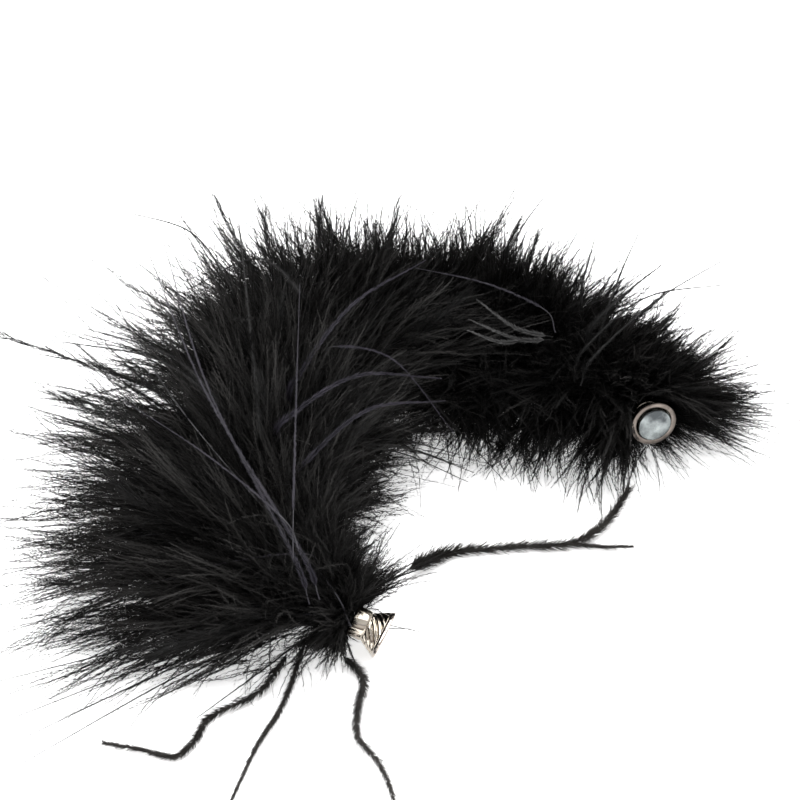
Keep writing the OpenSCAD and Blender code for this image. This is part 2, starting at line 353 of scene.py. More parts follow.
def clear_of_clasps(paths):
    """Which barbs leave the clasp halves bare, and do not hide them from the front and above."""
    keep = np.ones(len(paths), bool)
    for base, axis in (NEAR_CLASP, FAR_CLASP):
        from_base = paths - base
        along = from_base @ axis
        out = np.linalg.norm(from_base - along[..., None] * axis, axis=-1)
        wide = 3.6 * MM + 2.3 * MM * np.clip(along / CLASP_LEN, 0, 1)
        keep &= ~((along > 0.2 * MM) & (along < CLASP_LEN + 1.5 * MM) & (out < wide)).any(1)
        # The same, as seen from the front
        ahead = from_base @ FRONT
        seen = from_base - ahead[..., None] * FRONT
        line = unit(axis - FRONT * (axis @ FRONT))
        whole = CLASP_LEN * (axis @ line)
        along = seen @ line
        out = np.linalg.norm(seen - along[..., None] * line, axis=-1)
        wide = 3.5 * MM + 2.2 * MM * np.clip(along / whole, 0, 1)
        keep &= ~((ahead > 0) & (along > -0.1 * MM) & (along < whole + 0.5 * MM) & (out < wide)).any(1)
    base, axis = FAR_CLASP
    cap = base + axis * CLASP_LEN
    sight = near_line(paths, cap + FRONT * 1.5 * MM, cap + FRONT * 50 * MM).min(1)
    return keep & (sight > CAP_WINDOW)


# How much narrower a ribbon is at its tip than at its root
RIBBON_TAPER = 0.85


def paths_to_soup(soup, paths, side, width, shine):
    """Flat ribbons along paths (n, k, 3). side (n, 3) gives their flat direction, width (n,) theirs,
    shine (n,) how much of the material's tip colour they get."""
    n, k, _ = paths.shape
    s = np.linspace(0, 1, k)
    tangent = unit(np.gradient(paths, axis=1))
    flat = unit(np.cross(tangent, side[:, None, :]))
    half = 0.5 * width[:, None, None] * (1 - RIBBON_TAPER * s)[None, :, None]
    verts = np.stack([paths - flat * half, paths + flat * half], 2).reshape(-1, 3)
    base = (np.arange(n)[:, None] * k + np.arange(k - 1)[None]).reshape(-1) * 2
    faces = np.stack([base, base + 1, base + 3, base + 2], 1)
    tips = s[None, :, None] * np.ones((n, k, 2))
    tips = tips * np.broadcast_to(shine, n)[:, None, None]
    corner, size = cells(n)
    uv = np.empty((n, k, 2, 2))
    uv[..., 0] = corner[:, None, None, 0] + size * (0.05 + 0.9 * s)[None, :, None]
    uv[..., 1] = corner[:, None, None, 1] + size * (0.46 + 0.08 * np.arange(2))[None, None, :]
    soup.add(verts, faces, tips.reshape(-1), uv.reshape(-1, 2))
    return tangent, flat


def barbules(soup, rng, paths, flat, length, spacing, reach, lean, width, spread, tips_at, start=0.06,
             fade=0.7, shine=1.0):
    """Short thin barbs along each path: one slim triangle each, which leans towards the path's tip.
    length (n,) is each path's length; reach is a barbule's length at the root end; lean is its angle
    from the path; spread is how far it turns out of the flat of the ribbon; start is the part of the
    path where they begin; fade is how fast they grow shorter towards the tip; tips_at and shine say
    how much of the material's tip colour they get."""
    n, k, _ = paths.shape
    counts = np.maximum(2, (length * (1.0 - start) / spacing).astype(int))
    who = np.repeat(np.arange(n), counts)
    total = len(who)
    first = np.concatenate([[0], np.cumsum(counts)[:-1]])
    order = np.arange(total) - first[who]
    s = start + (1.0 - start) * (order + rng.uniform(0, 1, total)) / counts[who]
    x = np.clip(s, 0, 0.9999) * (k - 1)
    i = x.astype(int)
    frac = (x - i)[:, None]
    p0, p1 = paths[who, i], paths[who, i + 1]
    place = p0 + (p1 - p0) * frac
    along = unit(p1 - p0)
    a = unit(flat[who, i])
    b = np.cross(along, a)
    turn = rng.choice([0.0, math.pi], total) + rng.normal(0, spread, total)
    angle = lean * rng.uniform(0.6, 1.35, total)
    size = reach * np.clip(1.1 - s, 0.1, 1) ** fade * rng.uniform(0.55, 1.15, total)
    out = along * np.cos(angle)[:, None] + np.sin(angle)[:, None] * (
        a * np.cos(turn)[:, None] + b * np.sin(turn)[:, None])
    tip = place + out * size[:, None]
    tip[:, 2] = np.maximum(tip[:, 2], FLOOR_GAP * 0.5)
    half = 0.5 * width * unit(along - out * (along * out).sum(1, keepdims=True))
    verts = np.stack([place - half, place + half, tip], 1).reshape(-1, 3)
    base = np.arange(total) * 3
    faces = np.stack([base, base + 1, base + 2, np.full(total, -1)], 1)
    tips = np.stack([np.full(total, tips_at)] * 2 + [np.full(total, min(1, tips_at + 0.5))], 1) * s[:, None]
    tips = tips * np.broadcast_to(shine, n)[who][:, None]
    corner, cell = cells(n)
    uv = np.empty((total, 3, 2))
    uv[:, :, 0] = (corner[who, 0] + cell * (0.05 + 0.9 * s))[:, None]
    uv[:, 0, 0] -= cell * 0.01
    uv[:, 1, 0] += cell * 0.01
    rows = np.where(np.cos(turn) > 0, 0.55, 0.45)
    uv[:, :2, 1] = (corner[who, 1] + cell * rows)[:, None]
    uv[:, 2, 1] = corner[who, 1] + cell * np.where(np.cos(turn) > 0, 0.9, 0.1)
    soup.add(verts, faces, tips.reshape(-1), uv.reshape(-1, 2))


def tubes(soup, paths, radius, tip_radius=0.2, sides=5):
    """Round shafts along paths (n, k, 3) that thin out to tip_radius times their root's radius."""
    n, k, _ = paths.shape
    s = np.linspace(0, 1, k)
    tangent = unit(np.gradient(paths, axis=1))
    a = unit(np.cross(tangent, UP + 0.01))
    b = np.cross(tangent, a)
    turn = np.linspace(0, 2 * math.pi, sides, endpoint=False)
    r = radius[:, None] * (1 - (1 - tip_radius) * s)[None]
    ring = (a[:, :, None] * np.cos(turn)[:, None] + b[:, :, None] * np.sin(turn)[:, None])
    verts = (paths[:, :, None] + ring * r[:, :, None, None]).reshape(-1, 3)
    one = np.arange(n)[:, None, None] * k * sides
    row = np.arange(k - 1)[None, :, None] * sides
    col = np.arange(sides)[None, None, :]
    nxt = (col + 1) % sides
    here = one + row
    faces = np.stack([here + col, here + nxt, here + sides + nxt, here + sides + col], -1)
    tips = np.broadcast_to(s[None, :, None], (n, k, sides))
    corner, size = cells(n)
    uv = np.empty((n, k, sides, 2))
    uv[..., 0] = corner[:, None, None, 0] + size * (0.05 + 0.9 * s)[None, :, None]
    uv[..., 1] = corner[:, None, None, 1] + size * (0.1 + 0.8 * np.arange(sides) / sides)[None, None, :]
    soup.add(verts, faces.reshape(-1, 4), tips.reshape(-1), uv.reshape(-1, 2))


# ---------------------------------------------------------------- down

# Points along a barb
BARB_STEPS = 9
BARBS_PER_LOCK = 4
LOCKS_PER_PLUME = 8
# Plumes tied on along each bend, from the near end of the boa to the far one
PLUMES = [80, 78, 72, 66, 62, 62, 62, 66]
# How far the down reaches from the cord at each hinge and at the far end: to the outer side of the
# curl, straight up, and to its inner side
OUTER = np.array([58, 74, 69, 61, 52, 32, 33, 23, 30]) * MM
TOP = np.array([22, 36, 43, 45, 44, 31, 33, 27, 24]) * MM
INNER = np.array([11, 20, 34, 53, 54, 48, 44, 39, 36]) * MM
# How far the plumes lean along the boa, towards its far end, on the same three sides
LEAN_OUTER = np.array([0.45, 0.03, 0.0, 0.08, 0.1, 0.1, 0.15, 0.45, 1.6])
LEAN_TOP = np.array([1.5, 0.7, 0.45, 0.45, 0.3, 0.2, 0.2, 0.5, 1.2])
LEAN_INNER = np.array([0.8, 0.4, 0.5, 0.75, 0.5, 0.2, 0.1, 0.2, 0.9])
# The dark undercoat fills this part of the reach; the locks start inside it
CORE = 0.22
ROOT = 0.16


def along_boa(table, k, t):
    """A value from one of the tables above, at part t of bend k's arc."""
    x = np.clip(k + np.asarray(t), 0, len(table) - 1.001)
    i = x.astype(int)
    return table[i] + (table[i + 1] - table[i]) * (x - i)


def reach_at(k, t, angle):
    """The down's reach at an angle round the cord: 0 is outwards, 90 degrees up, 180 inwards."""
    c, s = np.cos(angle), np.sin(angle)
    side = np.where(c > 0, along_boa(OUTER, k, t), along_boa(INNER, k, t))
    top = along_boa(TOP, k, t)
    return 1 / np.sqrt((c / side) ** 2 + (s / top) ** 2)


def lean_at(k, t, angle):
    """The plumes' lean at an angle round the cord."""
    c, s = np.cos(angle), np.sin(angle)
    side = np.where(c > 0, along_boa(LEAN_OUTER, k, t), along_boa(LEAN_INNER, k, t))
    return side * c * c + along_boa(LEAN_TOP, k, t) * s * s


def round_cord(k, t, angle, lean=0.0):
    """A direction square to bend k's arc at t, turned round the cord by the angle, and leaned along it."""
    _, heading = on_arc(k, t)
    outward = unit(np.cross(UP, heading))
    lean = np.asarray(lean)[..., None]
    return unit(outward * np.cos(angle)[..., None] + UP * np.sin(angle)[..., None] + heading * lean)


def wavy(x, y, phase):
    """A smooth uneven number of about -1 to 1."""
    broad = np.sin(x * 1.3 + phase) * np.cos(y * 1.1 - phase)
    fine = np.sin(x * 2.9 - y * 2.3 + phase)
    return (broad + 0.6 * fine) / 1.6


def make_undercoat(k):
    """The dense dark heart of the down: a lumpy sleeve round the cord, closed at both ends."""
    rng = np.random.default_rng(k)
    rows, sides = 49, 28
    t = np.linspace(0, 1, rows)[:, None] * np.ones((1, sides))
    angle = np.linspace(-math.pi, math.pi, sides, endpoint=False)[None] * np.ones((rows, 1))
    place, _ = on_arc(k, t)
    outward = round_cord(k, t, angle, 0.7 * lean_at(k, t, angle))
    part = CORE + 0.07 * np.clip(np.cos(angle), 0, 1) + 0.05 * wavy((k + t) * 7, angle * 3, 1.0)
    # Uneven fingers low on the outer side, under the longest locks
    low = np.clip(1 - np.abs(angle - 0.1) / 0.5, 0, 1) * smoothstep((along_boa(OUTER, k, t) / MM - 45) / 20)
    part = part + low * rng.uniform(0.04, 0.27, (rows, 1))
    reach = reach_at(k, t, angle) * part
    if k == 0:
        reach = reach * (0.2 + 0.8 * smoothstep(t * 1.3))
    if k == 7:
        reach = reach * (0.25 + 0.75 * smoothstep((1 - t) * 1.4))
    skin = place + outward * reach[..., None]
    skin[..., 2] = np.maximum(skin[..., 2], 0.4 * MM)
    ends = on_arc(k, np.array([0.0, 1.0]))[0]
    verts = np.vstack([skin.reshape(-1, 3), ends])
    one = np.arange(rows - 1)[:, None] * sides + np.arange(sides)[None]
    nxt = np.arange(rows - 1)[:, None] * sides + (np.arange(sides)[None] + 1) % sides
    faces = np.stack([one, nxt, nxt + sides, one + sides], -1).reshape(-1, 4)
    ring = np.arange(sides)
    last = (rows - 1) * sides
    caps = [np.stack([ring, np.full(sides, rows * sides), (ring + 1) % sides, np.full(sides, -1)], 1),
            np.stack([last + (ring + 1) % sides, np.full(sides, rows * sides + 1), last + ring,
                      np.full(sides, -1)], 1)]
    soup = Soup()
    uv = np.zeros((len(verts), 2))
    uv[:rows * sides, 0] = (t * 0.98 + 0.01).ravel()
    uv[:rows * sides, 1] = ((angle / math.pi + 1) * 0.49 + 0.01).ravel()
    soup.add(verts, np.vstack([faces] + caps), np.zeros(len(verts)), uv)
    return soup.build(f"undercoat_{BODIES[k]}_to_{BODIES[k + 1]}", UNDERCOAT)


def plume_set(rng, k):
    """Plumes of bend k: part of the arc, angle round the cord, lean and reach."""
    count = PLUMES[k]
    many = count * 6
    t = (np.arange(many) + rng.uniform(0, 1, many)) / many
    angle = np.radians(rng.uniform(-14, 194, many))
    keep = rng.uniform(0, 1, many) < (reach_at(k, t, angle) / (60 * MM)) + 0.25
    pick = np.sort(rng.permutation(np.flatnonzero(keep))[:count])
    t, angle = t[pick], angle[pick]
    lean = lean_at(k, t, angle) + rng.normal(0, 0.17, len(t))
    reach = reach_at(k, t, angle) * rng.uniform(0.78, 1.1, len(t))
    return t, angle, lean, reach


def locks_of(rng, k):
    """Roots, directions, lengths and bends of the locks of bend k's plumes."""
    t, angle, lean, reach = plume_set(rng, k)
    n = len(t)
    m = LOCKS_PER_PLUME
    place, heading = on_arc(k, t)
    turn = angle[:, None] + rng.normal(0, 0.17, (n, m))
    along = lean[:, None] + rng.normal(0, 0.17, (n, m))
    tt = np.broadcast_to(t[:, None], (n, m))
    direction = round_cord(k, tt, turn, along)
    depth = ROOT + rng.uniform(0, 0.34, (n, m))
    stem = round_cord(k, t, angle, lean)
    root = place[:, None] + stem[:, None] * (reach[:, None] * depth)[..., None]
    root = root + heading[:, None] * rng.normal(0, 2.0, (n, m, 1)) * MM
    length = reach[:, None] * (1.03 - depth) * rng.uniform(0.74, 1.1, (n, m))
    length = fit_room(root, direction, length)
    bend = rng.normal(0, 0.12, (n, m, 3))
    bend[..., 2] -= 0.08
    return root.reshape(-1, 3), direction.reshape(-1, 3), length.ravel(), bend.reshape(-1, 3)


def short_down_of(rng, k, count):
    """Roots, directions, lengths and bends of the short down that hides the undercoat."""
    t = rng.uniform(0, 1, count)
    angle = np.radians(rng.uniform(-10, 190, count))
    lean = lean_at(k, t, angle) + rng.normal(0, 0.7, count)
    place, _ = on_arc(k, t)
    reach = np.minimum(reach_at(k, t, angle), 46 * MM)
    root = place + round_cord(k, t, angle) * (reach * rng.uniform(0.15, 0.5, count))[:, None]
    direction = round_cord(k, t, angle + rng.normal(0, 0.5, count), lean)
    length = reach * rng.uniform(0.24, 0.46, count)
    bend = rng.normal(0, 0.3, (count, 3))
    return root, direction, length, bend


def barbs_of(rng, root, direction, length, bend, barbs, apart, loose):
    """Paths, lengths and shine of the barbs of some locks. The barbs start apart from each other and
    meet at the lock's tip."""
    n = len(root)
    size = (length[:, None] * rng.uniform(0.62, 1.06, (n, barbs)))[..., None, None]
    s = np.linspace(0, 1, BARB_STEPS)[None, None, :, None]
    spread = rng.normal(0, 1.0, (n, barbs, 1, 3)) * apart
    stray = rng.normal(0, 1.0, (n, barbs, 1, 3)) * loose
    wave = rng.normal(0, 1.0, (n, barbs, 1, 3)) * 0.012 * size
    phase = rng.uniform(0, 6.3, (n, barbs, 1, 1))
    line = root[:, None, None] + direction[:, None, None] * size * s + bend[:, None, None] * size * s * s
    line = line + spread * (1 - s) ** 0.85 + stray * s * s + wave * np.sin(s * 4.5 + phase)
    line = line.reshape(n * barbs, BARB_STEPS, 3)
    # Each lock's random share of the painted highlight on its tips
    shine = np.repeat(rng.uniform(0, 1, n) ** 2.2, barbs)
    return settle(line, rng), size.reshape(-1), shine


# How many short barbs hide each undercoat
SHORT_DOWN = 1150
# How much the lighter locks stand out along the boa: the strength of their painted tip highlight, stronger on the
# near bends than on the far ones
TIP_HIGHLIGHT = [1.0, 1.1, 1.2, 1.15, 0.65, 0.35, 0.35, 0.7]
# The most triangles in one piece of down
MOST_TRIANGLES = 186000


def bare_clasps(paths, length, shine):
    """The barbs without those that would hide the clasps."""
    keep = clear_of_clasps(paths)
    return paths[keep], length[keep], shine[keep]


def fuzz(rng, paths, length, shine, width, spacing, reach, lean, barbule):
    """Ribbon barbs with their barbules."""
    soup = Soup()
    side = unit(rng.normal(0, 1, (len(paths), 3)))
    _, flat = paths_to_soup(soup, paths, side, rng.uniform(*width, len(paths)) * MM, shine=shine)
    most_barbules = MOST_TRIANGLES - len(paths) * 2 * (BARB_STEPS - 1)
    gap = max(spacing * MM * (1), length.sum() / most_barbules)
    barbules(soup, rng, paths, flat, length, spacing=gap, reach=reach * MM, lean=lean,
             width=barbule * MM, spread=0.4, tips_at=0.6, shine=shine)
    return soup


def make_down(k):
    """The locks of bend k's plumes: the fluff that shows."""
    rng = np.random.default_rng(100 + k)
    paths, length, shine = barbs_of(rng, *locks_of(rng, k), BARBS_PER_LOCK, 1.3 * MM, 0.7 * MM)
    soup = fuzz(rng, *bare_clasps(paths, length, shine * TIP_HIGHLIGHT[k]), (0.16, 0.28), 0.24, 2.1, 0.42, 0.16)
    return soup.build(f"down_{BODIES[k]}_to_{BODIES[k + 1]}", DOWN)


# Each clasp stands in collars of short locks, by bend: which clasp, how many locks, how far they open from
# the clasp's axis in radians, how long they are in mm, and the side that they gather towards
COLLARS = {
    0: [(NEAR_CLASP, 420, (1.1, 2.6), (6, 14), (0, 0, 0)),
        (NEAR_CLASP, 120, (1.0, 2.0), (9, 24), (0.5, 0.8, 0.3)),
        (NEAR_CLASP, 60, (1.5, 2.4), (9, 18), (-0.6, -0.6, 0))],
    7: [(FAR_CLASP, 620, (0.5, 1.9), (11, 27), (0, 0, 0)),
        (FAR_CLASP, 160, (0.7, 1.5), (22, 36), (1, 0.3, 0.3)),
        (FAR_CLASP, 420, (0.75, 1.6), (8, 18), (0, -1, -0.3))],
}


def collar_of(rng, clasp, count, opening, lengths, toward):
    """Roots, directions, lengths and bends of the locks behind a clasp half: all round it, or more
    towards one side."""
    base, axis = clasp
    side = unit(np.cross(axis, UP))
    over = np.cross(side, axis)
    turn = rng.uniform(0, 2 * math.pi, count)
    radial = side * np.cos(turn)[:, None] + over * np.sin(turn)[:, None] + 1.6 * np.array(toward)
    radial = unit(radial - (radial @ axis)[:, None] * axis)
    behind = rng.uniform(0, 3, (count, 1)) * MM
    root = base - axis * behind + radial * rng.uniform(1.4, 3.2, (count, 1)) * MM
    angle = rng.uniform(*opening, count)[:, None]
    direction = axis * np.cos(angle) + radial * np.sin(angle)
    bend = rng.normal(0, 0.14, (count, 3))
    bend[:, 2] -= 0.1
    return root, direction, rng.uniform(*lengths, count) * MM, bend


def make_short_down(k):
    """The short down that hides the undercoat, and the collar behind the clasp."""
    rng = np.random.default_rng(200 + k)
    found = barbs_of(rng, *short_down_of(rng, k, SHORT_DOWN), 1, 0.5 * MM, 0.5 * MM)
    for collar in COLLARS.get(k, []):
        more = barbs_of(rng, *collar_of(rng, *collar), 3, 0.8 * MM, 0.6 * MM)
        found = [np.concatenate(both) for both in zip(found, more)]
    paths, length, shine = found
    soup = fuzz(rng, *bare_clasps(paths, length, shine * TIP_HIGHLIGHT[k]), (0.14, 0.22), 0.24, 1.9, 0.48, 0.13)
    return soup.build(f"short_down_{BODIES[k]}_to_{BODIES[k + 1]}", DOWN)


# Long plumes that stand out of the down at each bend
LONG_PLUMES = [3, 4, 4, 4, 5, 5, 5, 5]


def make_long_plumes(k):
    """Plumes with a bare thin quill and barbs towards the tip, longer than the down round them."""
    rng = np.random.default_rng(300 + k)
    n = LONG_PLUMES[k]
    t = (np.arange(n) + rng.uniform(0.2, 0.8, n)) / n
    angle = np.radians((np.arange(n) * 67 + rng.uniform(0, 30, n)) % 150 + 4)
    lean = lean_at(k, t, angle) + rng.normal(0, 0.25, n)
    place, heading = on_arc(k, t)
    direction = round_cord(k, t, angle, lean)
    reach = fit_room(place, direction, reach_at(k, t, angle) * rng.uniform(0.86, 1.04, n))
    s = np.linspace(0, 1, 14)[None, :, None]
    bow = rng.normal(0, 0.1, (n, 1, 3))
    quill = place[:, None] + (direction[:, None] * s + bow * s * s) * reach[:, None, None]
    quill = settle(quill, rng)
    soup = Soup()
    bare = clear_of_clasps(quill)
    tubes(soup, quill[bare], rng.uniform(0.16, 0.24, n)[bare] * MM, 0.25, 5)
    # Barbs leave the quill in pairs over its outer part, shorter and closer to it towards the tip
    pairs = 26
    u = np.linspace(0.42, 0.985, pairs)[None] + rng.uniform(-0.01, 0.01, (n, pairs))
    x = u * 13
    i = np.minimum(x.astype(int), 12)
    rows = np.arange(n)[:, None]
    a, b = quill[rows, i], quill[rows, i + 1]
    root = a + (b - a) * (x - i)[..., None]
    along = unit(b - a)
    side = unit(np.cross(along, heading[:, None] + 0.3 * rng.normal(0, 1, (n, 1, 3))))
    sign = np.where(np.arange(pairs) % 2 == 0, 1.0, -1.0)[None, :, None]
    open_angle = (0.42 - 0.28 * u + rng.normal(0, 0.06, u.shape))[..., None]
    out = unit(along * np.cos(open_angle) + side * sign * np.sin(open_angle)
               + rng.normal(0, 0.05, (n, pairs, 3)))
    size = (reach[:, None] * (0.30 - 0.16 * u) * rng.uniform(0.8, 1.15, u.shape)).ravel()
    bend = rng.normal(0, 0.08, (n * pairs, 3)) - 0.12 * (out - along).reshape(-1, 3)
    found = barbs_of(rng, root.reshape(-1, 3), out.reshape(-1, 3), size, bend, 3, 0.25 * MM, 0.4 * MM)
    paths, length, shine = bare_clasps(*found)
    width = rng.uniform(0.12, 0.2, len(paths)) * MM
    _, flat = paths_to_soup(soup, paths, unit(rng.normal(0, 1, (len(paths), 3))), width, shine)
    barbules(soup, rng, paths, flat, length, spacing=0.28 * MM, reach=1.5 * MM,
             lean=0.45, width=0.12 * MM, spread=0.5, tips_at=0.6, shine=shine)
    return soup.build(f"plumes_{BODIES[k]}_to_{BODIES[k + 1]}", PLUME)


def make_quills(k):
    """The bare root ends of bend k's quills, which run out from the cord into the down."""
    rng = np.random.default_rng(100 + k)
    t, angle, lean, reach = plume_set(rng, k)
    place, heading = on_arc(k, t)
    direction = round_cord(k, t, angle, lean)
    s = np.linspace(0, 1, 8)[None, :, None]
    root = place + direction * 0.8 * MM - heading * 1.5 * MM
    quill = root[:, None] + (direction[:, None] * s + heading[:, None] * 0.08 * np.sin(3 * s)) \
        * (0.62 * reach)[:, None, None]
    quill = settle(quill, rng)
    quill = quill[clear_of_clasps(quill)]
    soup = Soup()
    tubes(soup, quill, np.full(len(quill), 0.26 * MM), 0.3, 5)
    return soup.build(f"quills_{BODIES[k]}_to_{BODIES[k + 1]}", QUILL)


def wear(piece, k, slot, *nodes):
    """Bakes a piece's placement into its mesh and hides the CAD solids that it stands for; bend k is not used."""
    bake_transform(piece)
    if nodes:
        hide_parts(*nodes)


EDGE_NODES = {0: ["near_edge_tuft"], 7: ["far_edge_tuft"]}


def on_bend(kind, k):
    """The CAD solid of link k that the piece at bend k stands for."""
    return [f"{kind}_{k}"] if k else []


for k in range(8):
    wear(make_undercoat(k), k, "down")
    wear(make_short_down(k), k, "down")
    wear(make_down(k), k, "down", *EDGE_NODES.get(k, []), *on_bend("down_tuft", k))
    wear(make_long_plumes(k), k, "plume", *on_bend("plume_fan", k))
    wear(make_quills(k), k, "quill", *on_bend("quills", k))


# ---------------------------------------------------------------- loose strands

START = hinge("near_swing") * np.array([1, 1, 0])
# Points of each loose strand on the table, in millimetres from the first bend of the cord
STRANDS = {
    "loose_strand_left": [(-9.5, -7, 3), (-15, -17, 1.6), (-25, -24, 1), (-28, -31, 1), (-32, -36, 1),
                          (-39, -34, 1), (-47, -32, 1)],
    "loose_strand_middle": [(-6, -5, 3), (-10, -21, 1.4), (-15, -33, 1), (-20, -50, 1)],
    "loose_strand_near": [(3, -7, 2.4), (7, -13, 1.4), (6, -21, 1), (6, -30, 1), (11, -39, 1),
                          (14, -50, 1)],
    "loose_strand_right": [(17, 21, 3), (21, 25, 2), (27, 29, 1.2), (42, 31, 1), (54, 32, 1.4),
                           (62, 39, 2.4), (67, 48, 4)],
    "loose_strand_fork": [(53, 31.6, 1.2), (60, 31, 1), (67, 31, 1)],
}
# How long each strand's barbules are in mm, and how far they open from the quill in radians
FRINGE = {
    "loose_strand_left": (2.4, 0.54),
    "loose_strand_middle": (1.9, 0.46),
    "loose_strand_near": (2.4, 0.6),
    "loose_strand_right": (4.4, 0.5),
    "loose_strand_fork": (1.9, 0.42),
}


def make_strand(name, points):
    """A foxtail strand: a thin quill with a dense fringe of short barbules that point to its tip."""
    rng = np.random.default_rng(sum(map(ord, name)))
    reach, lean = FRINGE[name]
    path = START + catmull(points, 14) * MM
    soup = Soup()
    tubes(soup, path[None], np.array([0.24 * MM]), 0.35, 6)
    length = np.linalg.norm(np.diff(path, axis=0), axis=1).sum()
    line = even_steps(path, 40)
    ways = 8
    lines = np.repeat(line[None], ways, axis=0)
    flat = np.zeros_like(lines)
    tangent = unit(np.gradient(line, axis=0))
    a = unit(np.cross(tangent, UP))
    b = np.cross(a, tangent)
    for w in range(ways):
        turn = math.pi * w / ways
        flat[w] = a * math.cos(turn) + b * math.sin(turn) * 0.6
    barbules(soup, rng, lines, flat, np.full(ways, length), spacing=0.2 * MM, reach=reach * 1.25 * MM,
             lean=lean, width=0.18 * MM, spread=0.2, start=0.0, tips_at=0.5, fade=0.4)
    barbules(soup, rng, lines, flat, np.full(ways, length), spacing=1.6 * MM, reach=reach * 1.7 * MM,
             lean=lean * 1.25, width=0.12 * MM, spread=0.3, start=0.0, tips_at=1.0, fade=0.22)
    piece = soup.build(name + "_fringe", STRAND)
    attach(piece, "link_1")
    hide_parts(name)


for strand_name, strand_points in STRANDS.items():
    make_strand(strand_name, strand_points)


# ---------------------------------------------------------------- single plumes that stand out

# Kinds of single plume: the shaft's radius and the barbules' length in mm, their opening in radians, the part
# of the way where they begin, the colour of the barbules and of the shaft, and how many mm below its root
# the shaft starts in the down
KINDS = {
    "spike": (0.26, 1.8, 0.28, 0.05, "dark", "dark", 5),
    "lock": (0.28, 2.3, 0.4, 0.05, "dark", "dark", 5),
    "quill": (0.24, 1.3, 0.32, 0.35, "dark", "pale", 5),
    # The 'grey' fringes are black barbs with painted sheen
    "grey_quill": (0.15, 1.8, 0.25, 0.35, "grey", "pale", 5),
    "painted_sheen_foxtail": (0.16, 1.9, 0.36, 0.12, "grey", "pale", 5),
    "painted_sheen_band": (0.12, 3.8, 0.23, 0.0, "grey", "pale", 5),
    "curl": (0.08, 1.9, 0.42, 0.1, "light", "dark", 0),
    "hair": (0.1, 0.4, 0.3, 0.3, "dark", "dark", 0),
}
# The single plumes of each body: kind, root from the first bend of the cord (right, back, up), headings in
# degrees with one plume to each, length, rise of the tip, and bow of the middle to the left and upwards.
# All lengths are in mm.
SINGLES = {
    "link_1": [
        ("quill", (-2, 0, 20), [122], 106, 22, 8, 8),
        ("painted_sheen_foxtail", (-7, 0, 26), [114, 110], 88, 20, 5, 6),
        ("grey_quill", (-10, -4, 38), [132], 54, 0, 0, 2),
        ("grey_quill", (-8, 0, 36), [90], 68, 12, 0, 2),
        ("grey_quill", (-6, 2, 22), [190], 38, -4, 0, 2),
        ("spike", (-4, -3, 11), [212, 206, 200, 190], 66, -8, -1, 1),
        ("spike", (-5, -6, 6), [222], 30, -4, 0, 0),
        ("lock", (4, 3, 10), [50], 28, -8, 0, 1),
        ("lock", (0, -1, 9), [295, 235, 225], 12, -7, 0, 0),
    ],
    "link_2": [
        ("lock", (-15, 32, 36), [96], 60, 10, 0, 2),
        ("lock", (-24, 40, 33), [150, 140], 40, 2, -3, 3),
    ],
    "link_3": [
        ("lock", (-8, 74, 38), [170], 28, -2, -8, 4),
        ("spike", (-25, 77, 40), [143], 32, 7, -4, 3),
        ("painted_sheen_band", (-8, 48, 36), [50], 43, 8, 1, 5),
        ("painted_sheen_band", (-10, 32, 36), [24], 37, 0, 0, 7),
        ("painted_sheen_band", (-5, 23, 32), [33], 38, 2, 0, 7),
        ("grey_quill", (0, 56, 38), [-27], 29, -14, 3, 5),
        ("spike", (2, 43, 20), [10, 20, 15, 28], 29, -14, 0, 3),
    ],
    "link_4": [
        ("spike", (1, 92, 36), [75], 16, 9, 0, 2),
    ],
    "link_5": [
        ("spike", (19, 67, 20), [-35], 24, -17, 0, 0),
        ("spike", (32, 67, 16), [-43], 21, -14, 2, 0),
        ("spike", (39, 63, 16), [-42], 15, -14, 2, 0),
    ],
    "link_6": [
        ("curl", (50, 64, 35), [165, 185], 18, 7, 3, 0),
        ("curl", (42, 58, 38), [180], 12, 3, 2, 0),
        ("grey_quill", (48, 72, 37), [160], 31, 4, 0, 2),
        ("spike", (38, 91, 36), [57], 20, 9, 0, 2),
        ("spike", (58, 84, 36), [72], 10, 6, 0, 0),
        ("spike", (61, 59, 8), [225, 235], 10, -6, 0, 0),
    ],
    "link_7": [
        ("spike", (62, 74, 32), [66], 22, 12, 0, 2),
        ("lock", (60, 72, 32), [45], 23, 5, 0, 1),
        ("spike", (58, 66, 29), [42], 46, 7, 0, 3),
        ("spike", (58, 68, 30), [29], 39, 4, 3, 4),
    ],
    "near_end": [
        ("hair", (9, 0, 6), [16, 0], 14, -4, 0, 0),
    ],
}
# The 'grey' fringes take the painted sheen material
FRINGE_MATS = {"dark": PLUME, "grey": SHEEN_PLUME_PAINTED, "light": LIGHT_PLUME}
SHAFT_MATS = {"dark": PLUME, "pale": QUILL}
FRINGE_ROWS = 8


def single_line(root, heading, length, rise, left, up, deep):
    """A bowed line from root, at a heading over the table, with its root end drawn back into the down."""
    ahead = np.array([math.cos(math.radians(heading)), math.sin(math.radians(heading)), 0.0])
    middle = root + 0.45 * (ahead * length + UP * rise) + left * np.cross(UP, ahead) + up * UP
    points = [root, middle, root + ahead * length + UP * rise]
    if deep:
        points.insert(0, root - 0.2 * (middle - root) - min(deep, 0.5 * root[2]) * UP)
    return START + catmull(points, 12) * MM


